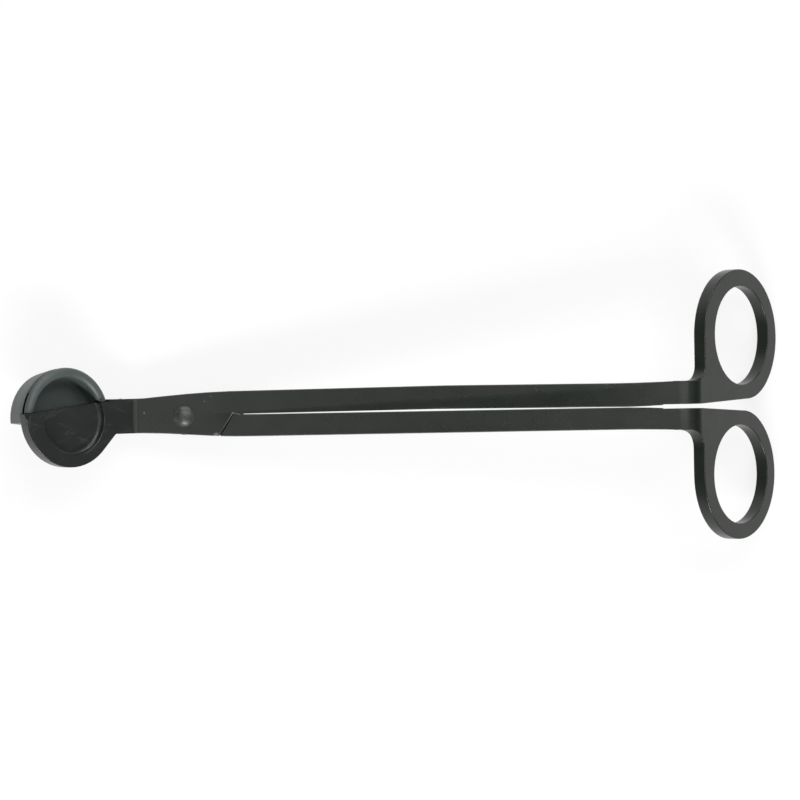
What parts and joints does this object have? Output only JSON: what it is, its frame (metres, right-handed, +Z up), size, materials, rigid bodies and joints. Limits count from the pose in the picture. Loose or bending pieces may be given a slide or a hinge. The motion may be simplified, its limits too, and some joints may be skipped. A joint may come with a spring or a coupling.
{
  "type": "wick trimmer",
  "caption": "Two crossed levers on a rivet, with finger rings bent down and a round shearing head bent up, half of it a cup that catches the cut wick.",
  "frame": {"origin": "centre of the footprint of the closed tool as it lies on a table, at table height", "axes": "+X along the tool from the head to the finger rings, +Z up off the table, +Y towards the blade lever's ring"},
  "size_m": [0.1844, 0.0639, 0.0265],
  "materials": {
    "lever_coating": "satin black coating",
    "rivet_coating": "satin black coating, worn on the dome"
  },
  "bodies": {
    "tray_side": {"tray_lever": "lever_coating", "pivot_rivet": "rivet_coating"},
    "blade_side": {"blade_lever": "lever_coating"}
  },
  "joints": [
    {"name": "opening", "type": "hinge", "parent": "tray_side", "child": "blade_side", "pos_m": [-0.0516, 0, 0.00482], "axis": [-0.1611, 0, 0.9869], "range_deg": [0, 40]}
  ]
}
